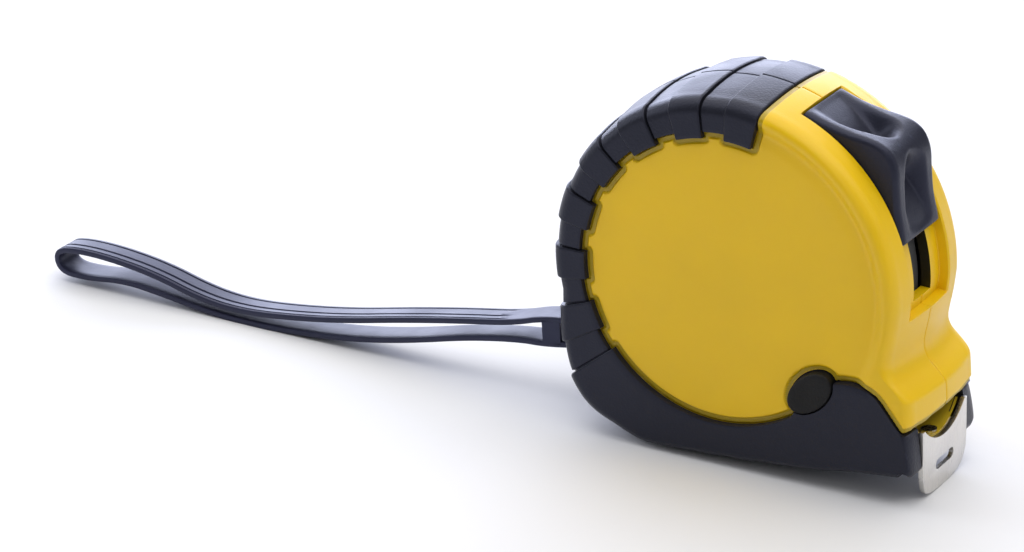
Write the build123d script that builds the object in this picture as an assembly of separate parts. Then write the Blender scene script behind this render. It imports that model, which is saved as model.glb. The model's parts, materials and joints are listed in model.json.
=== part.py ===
from build123d import *
import os
from math import cos, radians, sin, sqrt, tan

# Pocket tape measure, 5 m of 19 mm blade, in a two-shell case with a rubber grip boot,
# a thumb lock, a side brake button, a belt clip and a moulded wrist strap.
# Frame, in millimetres: X forward to the blade's mouth, Y across the case (+Y is the belt
# clip side), Z up.  The origin is on the flat base, under the spool axis, in the mid-plane.

# ---- case ----
HALF_W = 14.4          # half of the case's width
AXIS_Z = 34.1          # height of the spool axis
CROWN_R = 35.4         # crown of the rim, in the mid-plane
SHOULDER_R = 34.4      # where the crown turns into the shoulder
SHOULDER_Y = 11.4
SIDE_R = 31.6          # edge of the flat side
SIDE_CHAMFER = 2.6     # same edge along the base, heel and nose
BOOT_T = 1.4           # rubber over the shells' rim
BOOT_SIDE_T = 1.2      # rubber over the shells' sides
DISC_R = 29.8          # recessed round panel of the shells' sides
DISC_DEPTH = 0.5
CAVITY_R = 31.4
CAVITY_HALF = 12.2
CAVITY_FLOOR_Z = 3.4
SEAM_GAP = 0.03

# ---- grip boot: overlapping plates over the back, from the top of the case to the heel ----
TOOTH_DEEP_R = 27.1    # inner edge of each plate's raised half
TOOTH_SHALLOW_R = 28.2
PLATE_FIRST = 74.0     # degrees from +X, in the side view
PLATE_PITCH = 20.15
PLATE_COUNT = 7
PLATE_RAISED = 11.1

# ---- blade and mouth ----
BLADE_W = 19.0
BLADE_T = 0.2
TROUGH_R = 12.2        # inner radius of the blade's curved section
TROUGH_Z = 5.2         # underside of the blade's middle, outside the spool
COIL_R = 24.8
NOSE_X = 37.2          # front of the cheeks beside the hook
MOUTH_HALF = 9.7
MOUTH_TOP_Z = 10.1
MOUTH_FLOOR_Z = 3.6
BLADE_START_X = 1.0
TROUGH_X = 14.0        # where the blade has taken its full curve
BLADE_END_X = 35.6

# ---- spool ----
DRUM_R = 19.0
DRUM_WALL = 1.2
FLANGE_R = 27.4
FLANGE_T = 0.8
COIL_HALF = 9.55
AXLE_R = 4.0
RUNNING = 0.06         # radial clearance of turning fits
HUB_HALF = 10.9        # inner ends of the shells' hubs, beside the spool
SPRING_T = 0.5
SPRING_TURNS = 6
SPRING_HALF = 8.0

# ---- thumb lock: slides along an arc about the spool axis ----
LOCK_FROM = 15.1       # degrees from +X at rest
LOCK_TO = 64.6
LOCK_TRAVEL = 22.0
LOCK_HALF = 7.8
POCKET_R = 33.8
POCKET_END = -7.7
LEG_HALF = 2.2
LEG_R = (29.2, 30.9)
SHOE_TIP = -40.0
SHOE_R = (28.4, 31.0)
SHOE_HALF = 3.5
# crest of the lock in the side view: degrees from +X and radius
LOCK_CREST = [(64.6, 35.2), (58.0, 35.5), (51.0, 37.0), (46.0, 39.0), (43.0, 40.2), (40.0, 40.7),
              (37.0, 40.3), (34.0, 39.4), (30.5, 37.8), (25.0, 36.1), (21.0, 35.4), (15.1, 34.8)]
LOCK_FOOT_R = 33.95    # underside of the slider, over the floor of its pocket
DENT_AT = [(52.0, 42.4), (29.5, 42.2)]   # centres of the two finger dents
DENT_R = 6.3

# ---- side brake button ----
BRAKE_AT = (17.4, 15.6)
BRAKE_SIZE = (11.5, 7.6)
BRAKE_TILT = 40.0
BRAKE_GAP = 0.25
BRAKE_OUT = 14.9

# ---- end hook ----
HOOK_T = 0.9
HOOK_FRONT_X = 37.1    # front of the plate at its top
HOOK_TOP_Z = 9.0
HOOK_LEAN = 2.3        # degrees, lower edge back
HOOK_SEAT_HALF = 9.8   # recess in the nose that the plate lies in
HOOK_SEAT_GAP = 0.3
# outline of the plate: Y, and height above the base before the lean
HOOK_OUTLINE = [(-9.5, 9.0), (-9.5, -1.7), (-7.1, -4.2), (6.2, -4.2), (9.0, -1.4), (9.5, 0.4), (9.5, 9.0)]
HOOK_SLOT = (7.6, 1.5, 0.5)   # length, height and level of the nail slot
TONGUE_T = 0.7
TONGUE_X = 26.8
TONGUE_HALF = 5.5
RIVET_X = (29.8, 33.8)
RIVET_R = 0.8
RIVET_HEAD_R = 1.5
FLOAT = 1.0            # the hook's play on its rivets

# ---- wrist strap ----
STRAP_W = 6.5
STRAP_T = 1.2
PIN_AT = (-31.6, 15.6)
PIN_R = 1.0
LUG_X = -36.8
KEEPER_AT = (-41.4, 14.95)
KEEPER_SIZE = (3.8, 4.4)
# route of the strap's middle in the side view, out along the upper run, back along the lower
STRAP_ROUTE = [(-36.8, 17.6), (-42.5, 17.6), (-50.0, 15.6), (-61.0, 14.5), (-74.0, 12.9), (-88.0, 10.8),
               (-101.0, 9.7), (-112.0, 9.5), (-121.0, 11.0), (-131.0, 14.5), (-141.0, 16.5),
               (-149.0, 17.3), (-154.6, 16.8), (-154.0, 12.4), (-147.5, 11.7), (-138.5, 12.3), (-129.0, 10.6),
               (-119.0, 8.4), (-109.0, 7.2), (-97.0, 6.9), (-85.0, 7.3), (-72.5, 8.9), (-60.0, 11.3),
               (-48.5, 12.5), (-42.5, 12.3), (-36.8, 13.0)]

# ---- fasteners ----
BOSS_R = 2.3
SCREW_R = 1.1
SCREW_HEAD_R = 2.0
SCREW_TIP_Y = -10.2
SCREWS_AT = [(3.2, 64.1), (-28.0, 45.4), (-18.6, 10.3), (28.5, 16.0)]
CLIP_SCREW_AT = (0.0, 50.0)

OVER = 2.0             # how far a cutter runs past what it cuts


def polar(angle, radius):
    """A point of the side view, from its angle and radius about the spool axis."""
    return (radius * cos(radians(angle)), AXIS_Z + radius * sin(radians(angle)))


def side_prism(face, y0, y1):
    """Extrude a face drawn in the side view (x, z) from y0 to y1."""
    plane = Plane(origin=(0, y0, 0), x_dir=(1, 0, 0), z_dir=(0, -1, 0))
    return extrude(plane * face, amount=-(y1 - y0))


def y_cylinder(at, radius, y0, y1):
    return side_prism(Pos(at[0], at[1]) * Circle(radius), y0, y1)


def ring_sector(r0, r1, a0, a1):
    """A piece of a ring about the spool axis, between two radii and two angles."""
    mid = (a0 + a1) / 2
    outer = ThreePointArc(polar(a0, r1), polar(mid, r1), polar(a1, r1))
    inner = ThreePointArc(polar(a1, r0), polar(mid, r0), polar(a0, r0))
    lines = [outer, Line(polar(a1, r1), polar(a1, r0)), inner, Line(polar(a0, r0), polar(a0, r1))]
    return make_face(lines)


def axis_revolve(points, arcs):
    """Revolve a half section about the spool axis: (radius, y) points, some joined by arcs."""
    plane = Plane(origin=(0, 0, AXIS_Z), x_dir=(1, 0, 0), z_dir=(0, 0, -1))
    edges = []
    for i, start in enumerate(points):
        end = points[(i + 1) % len(points)]
        edges.append(ThreePointArc(start, arcs[i], end) if i in arcs else Line(start, end))
    face = make_face(edges)
    return revolve(plane * face, axis=Axis((0, 0, AXIS_Z), (0, 1, 0)))


def bulge(start, end, rise):
    """Middle point of an arc from start to end that stands rise to the right of the chord."""
    dx, dy = end[0] - start[0], end[1] - start[1]
    run = sqrt(dx * dx + dy * dy)
    return ((start[0] + end[0]) / 2 + rise * dy / run, (start[1] + end[1]) / 2 - rise * dx / run)


def moved_in(outline, distance):
    """A closed outline, listed anticlockwise, with each side moved in by distance."""
    sides = []
    for i, (x0, z0) in enumerate(outline):
        x1, z1 = outline[(i + 1) % len(outline)]
        run = sqrt((x1 - x0) ** 2 + (z1 - z0) ** 2)
        nx, nz = (z0 - z1) / run, (x1 - x0) / run
        sides.append((nx, nz, nx * x0 + nz * z0 + distance))
    corners = []
    for i, (nx, nz, reach) in enumerate(sides):
        mx, mz, back = sides[i - 1]
        turn = mx * nz - mz * nx
        corners.append(((back * nz - reach * mz) / turn, (mx * reach - nx * back) / turn))
    return corners


def round_body(inset):
    """The round of the case, crowned across its width, with every surface moved in by inset."""
    crown, edge = CROWN_R - inset, SIDE_R - inset
    y = HALF_W - inset * BOOT_SIDE_T / BOOT_T
    points = [(0, -y), (edge, -y), (SHOULDER_R - inset, -SHOULDER_Y), (SHOULDER_R - inset, SHOULDER_Y),
              (edge, y), (0, y)]
    arcs = {1: bulge(points[1], points[2], 0.8), 2: (crown, 0), 3: bulge(points[3], points[4], 0.8)}
    below = Pos(0, 0, inset) * Box(200, 200, 100, align=(Align.CENTER, Align.CENTER, Align.MAX))
    return axis_revolve(points, arcs) - below


def lower_body(inset):
    """The heel, base and nose below the round, with every surface moved in by inset."""
    heel = [(-10.0, 30.0), (-34.9, 26.0), (-34.9, 17.5), (-33.0, 10.6), (-28.2, 4.2), (-20.0, 0.9),
            (-12.0, 0.0)]
    nose = [(18.0, 0.0), (23.5, 1.0), (NOSE_X, 1.4), (37.5, 15.4), (34.0, 19.9), (33.2, 22.4), (18.0, 32.0)]
    outline = Polyline(*moved_in(heel + nose, inset), close=True)
    y = HALF_W - inset * BOOT_SIDE_T / BOOT_T
    body = side_prism(make_face(outline), -y, y)
    ends = body.faces().filter_by(Axis.Y)
    return chamfer(ends.edges(), length=SIDE_CHAMFER)


def nose_notch():
    """Small notch across the base, just behind the nose."""
    outline = Polyline((33.4, -OVER), (33.4, 1.3), (34.6, 2.7), (35.6, 2.7), (36.3, 1.3), (36.3, -OVER),
                       close=True)
    return side_prism(make_face(outline), -HALF_W - OVER, HALF_W + OVER)


def full_body(inset=0.0):
    return round_body(inset) + lower_body(inset) - nose_notch()


def boot_zone():
    """Side view of everything that the rubber boot covers: teeth above, the base below."""
    zone = Pos(0, AXIS_Z) * Circle(60)
    zone -= ring_sector(0.1, 60, -20, PLATE_FIRST)
    zone -= Pos(0, AXIS_Z) * Circle(TOOTH_DEEP_R)
    for i in range(PLATE_COUNT):
        start = PLATE_FIRST + i * PLATE_PITCH
        zone -= ring_sector(TOOTH_DEEP_R - 1, TOOTH_SHALLOW_R, start + PLATE_RAISED, start + PLATE_PITCH)
    # the nose: above this line the shells show, below it the boot does
    nose = Spline((13.4, 10.4), (17.5, 15.6), (22.3, 17.9), (26.0, 18.1), (30.2, 16.5), (32.8, 13.0),
                  (34.8, 10.3))
    beyond = Polyline(nose @ 1, (60, 10.3), (60, 60), (13.4, 60), nose @ 0)
    return zone - make_face([nose, *beyond.edges()])


def mouth_room(length):
    """The blade's way out, from its floor up and from the mid-plane forward."""
    height = MOUTH_TOP_Z - MOUTH_FLOOR_Z
    return Box(length, 2 * MOUTH_HALF, height, align=(Align.MIN, Align.CENTER, Align.MIN))


def cavity():
    """Everything hollow inside the case, both halves together."""
    room = y_cylinder((0, AXIS_Z), CAVITY_R, -CAVITY_HALF, CAVITY_HALF)
    room -= Pos(0, 0, CAVITY_FLOOR_Z - 50) * Box(200, 200, 100)
    room += Pos(0, 0, MOUTH_FLOOR_Z) * mouth_room(60)
    for at in SCREWS_AT:
        room -= y_cylinder(at, BOSS_R, -CAVITY_HALF, CAVITY_HALF)
    for side in (-1, 1):
        room -= y_cylinder((0, AXIS_Z), AXLE_R + 2, *sorted((side * HUB_HALF, side * CAVITY_HALF)))
    return room - y_cylinder(CLIP_SCREW_AT, 3.0, HUB_HALF, CAVITY_HALF)


def lock_slots():
    """The shallow pocket that the thumb lock slides in, and the slot for its stem."""
    wide, narrow = LOCK_HALF + 0.15, LEG_HALF + 0.2
    pocket = side_prism(ring_sector(POCKET_R, 60, POCKET_END, LOCK_TO + 0.3), -wide, wide)
    return pocket + side_prism(ring_sector(CAVITY_R - 1, 60, POCKET_END + 3, LOCK_TO - 4), -narrow, narrow)


def strap_pocket():
    """Slot in the rear of the case for the strap's lug, with its end round about the pin."""
    slot = Pos(-36.0, 0, 15.8) * Box(10, STRAP_W + 1, 9.6)
    return slot + y_cylinder(PIN_AT, 4.4, -STRAP_W / 2 - 0.5, STRAP_W / 2 + 0.5)


def brake_shape(grow):
    return Pos(BRAKE_AT[0], BRAKE_AT[1]) * (Rot(0, 0, BRAKE_TILT) *
                                            Ellipse(BRAKE_SIZE[0] / 2 + grow, BRAKE_SIZE[1] / 2 + grow))


def brake_hole():
    """Oval hole for the brake button through the right side, and the room for its flange."""
    hole = side_prism(brake_shape(BRAKE_GAP), -HALF_W - OVER, -CAVITY_HALF + 0.1)
    return hole + side_prism(brake_shape(1.4), -12.9, -CAVITY_HALF + 0.1)


def screw_holes(head_depth):
    holes = y_cylinder(SCREWS_AT[0], SCREW_R, -10.4, HALF_W + OVER)
    for at in SCREWS_AT[1:]:
        holes += y_cylinder(at, SCREW_R, -10.4, HALF_W + OVER)
    for at in SCREWS_AT:
        holes += y_cylinder(at, SCREW_HEAD_R + 0.2, HALF_W - head_depth, HALF_W + OVER)
    return holes


def hook_plane():
    """Front of the hook's plate: its origin at the top, X across the case, Z forward."""
    lean = radians(HOOK_LEAN)
    facing = (cos(lean), 0, -sin(lean))
    return Plane(origin=(HOOK_FRONT_X, 0, HOOK_TOP_Z), x_dir=(0, 1, 0), z_dir=facing)


def hook_seat():
    """The recess in the nose behind and around the hook's plate, below the mouth's top edge."""
    top = MOUTH_TOP_Z - HOOK_TOP_Z
    front = Pos(0, top) * Rectangle(2 * HOOK_SEAT_HALF, 40, align=(Align.CENTER, Align.MAX))
    back = hook_plane() * Pos(0, 0, -HOOK_T - HOOK_SEAT_GAP)
    return extrude(back * front, amount=20)


def half_space(side):
    """All of the space on one side of the mid-plane seam."""
    return Pos(0, side * (100 + SEAM_GAP / 2), 0) * Box(400, 200, 400)


def case_cutters():
    """Everything that is cut through the shells and the boot alike."""
    return lock_slots() + strap_pocket() + brake_hole() + screw_holes(2.2)


def shells_and_boots():
    whole = full_body()
    zone = side_prism(boot_zone(), -60, 60)
    inner = full_body(BOOT_T)
    boot = (whole - inner) & zone
    boot -= Pos(30, 0, MOUTH_FLOOR_Z) * mouth_room(20)
    shell = whole - boot - cavity()
    seat = hook_seat()
    panel_y = HALF_W - DISC_DEPTH
    for y0, y1 in ((-HALF_W - OVER, -panel_y), (panel_y, HALF_W + OVER)):
        shell -= y_cylinder((0, AXIS_Z), DISC_R, y0, y1)
    shell -= case_cutters() + seat
    shell -= y_cylinder((0, AXIS_Z), AXLE_R, -13.0, 13.0)
    shell -= y_cylinder(PIN_AT, PIN_R, -8.0, 8.0)
    shell -= y_cylinder(CLIP_SCREW_AT, 1.5, 0, HALF_W + OVER)
    boot -= case_cutters() + seat
    return {
        "right_case_shell": shell & half_space(-1),
        "left_case_shell": shell & half_space(1),
        "right_grip_boot": boot & half_space(-1),
        "left_grip_boot": boot & half_space(1),
    }


def case_screws():
    """Four self-tapping screws, driven from the belt clip side."""
    seat = HALF_W - 2.2
    return [y_cylinder(at, SCREW_R, SCREW_TIP_Y, seat) + screw_head(at, SCREW_HEAD_R, seat, 1.4)
            for at in SCREWS_AT]


def screw_head(at, radius, y, height):
    """A pan head with a cross recess, standing on the plane at y."""
    head = y_cylinder(at, radius, y, y + height)
    rim = head.faces().sort_by(Axis.Y)[-1].edges()
    head = fillet(rim, height * 0.4)
    for size in ((radius * 1.1, 0.5), (0.5, radius * 1.1)):
        cut = Rectangle(*size)
        head -= side_prism(Pos(at[0], at[1]) * cut, y + height * 0.45, y + height + OVER)
    return head


def spool_axle():
    """Fixed post across the case, slotted for the power spring's inner end."""
    post = y_cylinder((0, AXIS_Z), AXLE_R, -12.9, 12.9)
    return post - side_prism(Pos(0, AXIS_Z) * Rectangle(2 * AXLE_R + OVER, 0.8), -SPRING_HALF, 12.9 + OVER)


def flange_disc(y0, y1):
    disc = y_cylinder((0, AXIS_Z), FLANGE_R, y0, y1)
    return disc - y_cylinder((0, AXIS_Z), AXLE_R + RUNNING, y0 - OVER, y1 + OVER)


def tape_spool():
    """Drum and right flange in one piece, with a slot for the clip that holds the blade's end."""
    flange = flange_disc(-COIL_HALF - FLANGE_T, -COIL_HALF)
    drum = y_cylinder((0, AXIS_Z), DRUM_R, -COIL_HALF, COIL_HALF)
    drum -= y_cylinder((0, AXIS_Z), DRUM_R - DRUM_WALL, -COIL_HALF, COIL_HALF)
    slot = side_prism(ring_sector(DRUM_R - 3, DRUM_R + 1, -3, 3), -4.2, 4.2)
    return flange + drum - slot


def spool_cover():
    """Left flange, with a ring that locates it in the drum."""
    lip_r = DRUM_R - DRUM_WALL
    lip = y_cylinder((0, AXIS_Z), lip_r, COIL_HALF - 1.2, COIL_HALF)
    lip -= y_cylinder((0, AXIS_Z), lip_r - 0.8, COIL_HALF - 1.2, COIL_HALF)
    return flange_disc(COIL_HALF, COIL_HALF + FLANGE_T) + lip


def tape_end_clip():
    return side_prism(ring_sector(DRUM_R - DRUM_WALL, DRUM_R - 0.1, -2.6, 2.6), -3.9, 3.9)


def tape_coil():
    """The wound blade, as one ring: 5 m at 0.16 mm a turn."""
    coil = y_cylinder((0, AXIS_Z), COIL_R, -BLADE_W / 2, BLADE_W / 2)
    return coil - y_cylinder((0, AXIS_Z), DRUM_R, -BLADE_W / 2, BLADE_W / 2)


def power_spring():
    """Flat spiral spring between the axle and the drum."""
    first, last = AXLE_R + 0.1, DRUM_R - DRUM_WALL - SPRING_T - 0.1
    steps = 12 * SPRING_TURNS

    def spiral(shift):
        return Spline(*[polar(360 * SPRING_TURNS * i / steps, first + shift + (last - first) * i / steps)
                        for i in range(steps + 1)])

    inner, outer = spiral(0), spiral(SPRING_T)
    ribbon = make_face([inner, Line(inner @ 1, outer @ 1), outer, Line(outer @ 0, inner @ 0)])
    return side_prism(ribbon, -SPRING_HALF, SPRING_HALF)


def blade_section(x, radius, low_z):
    """The blade's section at x: an arc as long as the blade is wide, its middle lowest."""
    half = BLADE_W / 2 / radius
    outer_r = radius + BLADE_T
    mid_z = low_z + outer_r

    def at(r, angle):
        return (x, r * sin(angle), mid_z - r * cos(angle))

    under = ThreePointArc(at(outer_r, -half), at(outer_r, 0), at(outer_r, half))
    upper = ThreePointArc(at(radius, half), at(radius, 0), at(radius, -half))
    return make_face([under, Line(under @ 1, upper @ 0), upper, Line(upper @ 1, under @ 0)])


def tape_blade():
    """The straight stretch: flat where it leaves the coil, curved from TROUGH_X to the hook."""
    flat = blade_section(BLADE_START_X, 10 * TROUGH_R, TROUGH_Z + 2.9)
    curved = blade_section(TROUGH_X, TROUGH_R, TROUGH_Z)
    straight = extrude(curved, amount=BLADE_END_X - TROUGH_X, dir=(1, 0, 0))
    return loft([flat, curved], ruled=True) + straight - rivet_holes(RIVET_R, 0)


def rivet_holes(radius, play):
    """Holes for the rivets' shanks, drawn out backwards by the hook's play."""
    outline = SlotCenterToCenter(play, 2 * radius) if play else Circle(radius)
    hole = extrude(outline, amount=3, both=True)
    first, second = [Pos(x - play / 2, 0, TROUGH_Z) * hole for x in RIVET_X]
    return first + second


def hook_rivets():
    """Two rivets, with a flat head over the blade and one under the hook's tongue."""
    upper_z = TROUGH_Z + BLADE_T + 0.1
    low = TROUGH_Z - TONGUE_T - 0.05
    rivets = []
    for x in RIVET_X:
        shank = Cylinder(RIVET_R, upper_z - low, align=(Align.CENTER, Align.CENTER, Align.MIN))
        upper = Cylinder(RIVET_HEAD_R, 0.4, align=(Align.CENTER, Align.CENTER, Align.MIN))
        lower = Cylinder(RIVET_HEAD_R, 0.4, align=(Align.CENTER, Align.CENTER, Align.MAX))
        rivets.append(Pos(x, 0, low) * (shank + lower) + Pos(x, 0, upper_z) * upper)
    return rivets


def end_hook():
    """Plate across the blade's end, leaning back at its foot, with a tongue under the blade."""
    corners = [(y, z - HOOK_TOP_Z) for y, z in HOOK_OUTLINE]
    outline = make_face(Polyline(*corners, close=True))
    length, height, level = HOOK_SLOT
    outline -= Pos(0, level - HOOK_TOP_Z) * SlotOverall(length, height)
    plate = extrude(hook_plane() * outline, amount=-HOOK_T)
    centre_z = TROUGH_Z + BLADE_T + TROUGH_R
    plate -= Pos(HOOK_FRONT_X, 0, centre_z) * Rot(0, 90, 0) * Cylinder(TROUGH_R, 10)
    tongue = Pos(TONGUE_X, 0, centre_z) * Rot(0, 90, 0) * Cylinder(
        TROUGH_R + BLADE_T + TONGUE_T, 36.4 - TONGUE_X, align=(Align.CENTER, Align.CENTER, Align.MIN))
    tongue -= Pos(TONGUE_X, 0, centre_z) * Rot(0, 90, 0) * Cylinder(
        TROUGH_R + BLADE_T + 0.02, 30, align=(Align.CENTER, Align.CENTER, Align.MIN))
    tongue &= Pos(TONGUE_X, 0, 0) * Box(30, 2 * TONGUE_HALF, 16, align=(Align.MIN, Align.CENTER, Align.MIN))
    return plate + tongue - rivet_holes(RIVET_R + 0.08, FLOAT + 0.2)


def blade_guide():
    """Slippery bed under the blade, curved as the blade is."""
    bed = Box(11, 2 * MOUTH_HALF - 0.2, 4.4, align=(Align.MIN, Align.CENTER, Align.MIN))
    room = TROUGH_R + BLADE_T + 0.3
    blade_axis = Pos(15, 0, TROUGH_Z + BLADE_T + TROUGH_R) * Rot(0, 90, 0)
    return Pos(15, 0, MOUTH_FLOOR_Z) * bed - blade_axis * Cylinder(room, 60)


def thumb_lock():
    """Slider with a high crest and two finger dents, on a stem that reaches into the case."""
    crest = Spline(*[polar(a, r) for a, r in LOCK_CREST])
    middle = polar((LOCK_FROM + LOCK_TO) / 2, LOCK_FOOT_R)
    foot = ThreePointArc(polar(LOCK_FROM, LOCK_FOOT_R), middle, polar(LOCK_TO, LOCK_FOOT_R))
    ends = [Line(crest @ 0, foot @ 1), Line(foot @ 0, crest @ 1)]
    block = side_prism(make_face([crest, *ends, foot]), -LOCK_HALF, LOCK_HALF)
    stem = side_prism(ring_sector(LEG_R[1], LOCK_FOOT_R + 0.5, 30, 52), -LEG_HALF, LEG_HALF)
    return block + stem - finger_dents()


def finger_dents():
    """Scoops on both sides of the crest, above it and below it."""
    upper, lower = [polar(*at) for at in DENT_AT]
    return Pos(upper[0], 0, upper[1]) * Sphere(DENT_R) + Pos(lower[0], 0, lower[1]) * Sphere(DENT_R)


def lock_leg():
    """Curved tongue under the slider's stem, down to the shoe over the blade."""
    return side_prism(ring_sector(LEG_R[0], LEG_R[1], SHOE_TIP + 6, 54), -LEG_HALF, LEG_HALF)


def lock_shoe():
    """Rubber shoe around the leg's lower end."""
    shoe = side_prism(ring_sector(SHOE_R[0], SHOE_R[1], SHOE_TIP, SHOE_TIP + 9), -SHOE_HALF, SHOE_HALF)
    return shoe - side_prism(ring_sector(*LEG_R, SHOE_TIP + 6, SHOE_TIP + 12), -LEG_HALF, LEG_HALF)


def brake_button():
    """Oval cap in the right side, with a flange inside that keeps it in."""
    return side_prism(brake_shape(0), -BRAKE_OUT, -12.3) + side_prism(brake_shape(1.1), -12.8, -12.3)


def brake_pad():
    """Rubber pad on the button's inner face, facing the spool's flange."""
    return side_prism(Pos(*BRAKE_AT) * Circle(1.9), -12.3, -11.5)


def belt_clip():
    """Sprung steel strip on the left side: tab, step, long run and turned-out lip."""
    centre = Polyline((14.4, 57.0), (14.4, 43.0), (19.4, 39.0), (19.4, 17.0), (17.6, 12.0), (19.4, 8.5))
    plane = Plane(origin=(8, 0, 0), x_dir=(0, 1, 0), z_dir=(1, 0, 0))
    strip = extrude(plane * trace(centre, line_width=1.0), amount=-16)
    return strip - y_cylinder(CLIP_SCREW_AT, 1.6, 10, 18)


def belt_clip_screw():
    return y_cylinder(CLIP_SCREW_AT, 1.5, 11.2, 14.9) + screw_head(CLIP_SCREW_AT, 3.0, 14.9, 1.3)


def strap_pin():
    return y_cylinder(PIN_AT, PIN_R, -7.9, 7.9)


def strap_lug():
    """Moulded end of the strap, with an eye that turns on the pin."""
    half = STRAP_W / 2
    body = side_prism(Pos((LUG_X + PIN_AT[0]) / 2, 15.3) * Rectangle(PIN_AT[0] - LUG_X, 5.8), -half, half)
    body += y_cylinder(PIN_AT, 3.3, -half, half)
    return body - y_cylinder(PIN_AT, PIN_R + RUNNING, -STRAP_W, STRAP_W)


def strap_keeper():
    """Block moulded between the strap's two runs, just outside the case."""
    return side_prism(Pos(*KEEPER_AT) * Rectangle(*KEEPER_SIZE), -STRAP_W / 2, STRAP_W / 2)


def corner_radii(route):
    """Arc for each corner of a route: 0.45 of its shorter run over the tangent of half its turn."""
    radii = []
    for before, at, after in zip(route, route[1:], route[2:]):
        first = Vector(*at) - Vector(*before)
        second = Vector(*after) - Vector(*at)
        turn = first.get_angle(second)
        radii.append(0.45 * min(first.length, second.length) / tan(radians(turn / 2)))
    return radii


def wrist_strap():
    """Flat strap that leaves the lug, folds back on itself and returns to the lug."""
    points = [(x, 0, z) for x, z in STRAP_ROUTE]
    radii = corner_radii(points)
    path = FilletPolyline(*points, radius=radii)
    start = Plane(origin=path @ 0, x_dir=(0, 1, 0), z_dir=path % 0)
    strap = sweep(start * Rectangle(STRAP_W, STRAP_T), path=path)
    whole = path.length * STRAP_W * STRAP_T
    print("strap radii", [round(r, 1) for r in radii])
    print("strap length", round(path.length, 1), "volume ratio", round(strap.volume / whole, 4))
    return strap


def main():
    os.makedirs("parts", exist_ok=True)
    nodes = shells_and_boots()
    makers = [case_screws, spool_axle, power_spring, blade_guide, belt_clip, belt_clip_screw, strap_pin,
              thumb_lock, lock_leg, lock_shoe, tape_spool, spool_cover, tape_coil, tape_end_clip,
              tape_blade, hook_rivets, end_hook, brake_button, brake_pad, strap_lug, strap_keeper,
              wrist_strap]
    for make in makers:
        made = make()
        nodes[make.__name__] = Compound(children=made) if isinstance(made, list) else made
    for name, solid in nodes.items():
        export_step(solid, f"parts/{name}.step")


main()
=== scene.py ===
import json
from math import cos, pi, radians, sin

import bmesh
import bpy
import numpy as np
from mathutils import Matrix, Vector


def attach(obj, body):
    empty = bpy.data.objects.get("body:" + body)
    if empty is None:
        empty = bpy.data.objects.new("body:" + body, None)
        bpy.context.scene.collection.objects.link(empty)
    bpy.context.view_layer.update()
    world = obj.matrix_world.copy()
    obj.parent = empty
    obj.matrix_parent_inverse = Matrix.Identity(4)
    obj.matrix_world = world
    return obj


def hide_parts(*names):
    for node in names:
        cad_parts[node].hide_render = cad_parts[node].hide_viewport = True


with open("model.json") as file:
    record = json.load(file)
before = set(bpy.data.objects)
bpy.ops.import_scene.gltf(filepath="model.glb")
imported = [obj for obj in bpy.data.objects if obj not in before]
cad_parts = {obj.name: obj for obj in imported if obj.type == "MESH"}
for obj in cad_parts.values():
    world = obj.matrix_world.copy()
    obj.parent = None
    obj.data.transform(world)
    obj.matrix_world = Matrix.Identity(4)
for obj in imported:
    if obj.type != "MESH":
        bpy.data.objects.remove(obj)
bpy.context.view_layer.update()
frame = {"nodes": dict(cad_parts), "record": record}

# A pocket tape measure.  X runs forward to the blade's mouth, Y across the case, Z up.
# Lengths of the tool are in millimetres; MM turns them into the frame's metres, which lights also use.
MM = 0.001

# ---- case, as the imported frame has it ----
HALF_W = 14.4
AXIS_Z = 34.1
CROWN_R = 35.4
SEAM_Y = 0.03
DISC_R, DISC_Y = 29.9, 13.3      # sunken round panel of each side
RIM_R = 32.6                      # top of the slope around it
CAVITY_R, CAVITY_HALF = 31.4, 12.2
MOUTH_HALF, MOUTH_TOP_Z, MOUTH_FLOOR_Z = 9.7, 10.1, 3.6

# ---- grip boot ----
BOOT_T = 1.4
BOOT_FRONT_X = 36.75              # its front face, behind the hook's plate
HEEL_TO, NOSE_TO = 299.5, 326.9   # angles where the nose's part of the boot begins and ends
TOOTH_DEEP_R, TOOTH_SHALLOW_R = 27.1, 28.2
HEEL_BORDER_R = TOOTH_DEEP_R + 0.05
PLATE_FIRST, PLATE_PITCH, PLATE_COUNT, PLATE_RAISED = 74.0, 20.15, 7, 11.1
PLATE_LAST = PLATE_FIRST + PLATE_COUNT * PLATE_PITCH
STEP_DEPTH = 0.45                 # lower half of a plate, under its raised half
GROOVE_DEPTH, GROOVE_ANGLE = 0.85, 0.75
BORDER_STRIP = 1.15               # sunken strip in the shell along the boot's edge
STRIP_DEPTH = 0.38

# ---- thumb lock ----
LOCK_FROM, LOCK_TO = 15.1, 64.6
LOCK_HALF = 7.8
LOCK_FOOT_R = 33.5
POCKET_DEPTH, POCKET_END, POCKET_HALF = 2.0, -7.7, 7.95
SLOT_HALF = 3.6
LEG_HALF = 3.5
STEM_HALF = 2.2                   # neck between the lock and its leg
LOCK_CREST = [(15.1, 34.8), (21.0, 35.4), (25.0, 36.1), (30.5, 37.8), (34.0, 39.4), (37.0, 40.3),
              (40.0, 40.7), (43.0, 40.2), (46.0, 39.0), (51.0, 37.0), (58.0, 35.5), (64.6, 35.2)]
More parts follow.
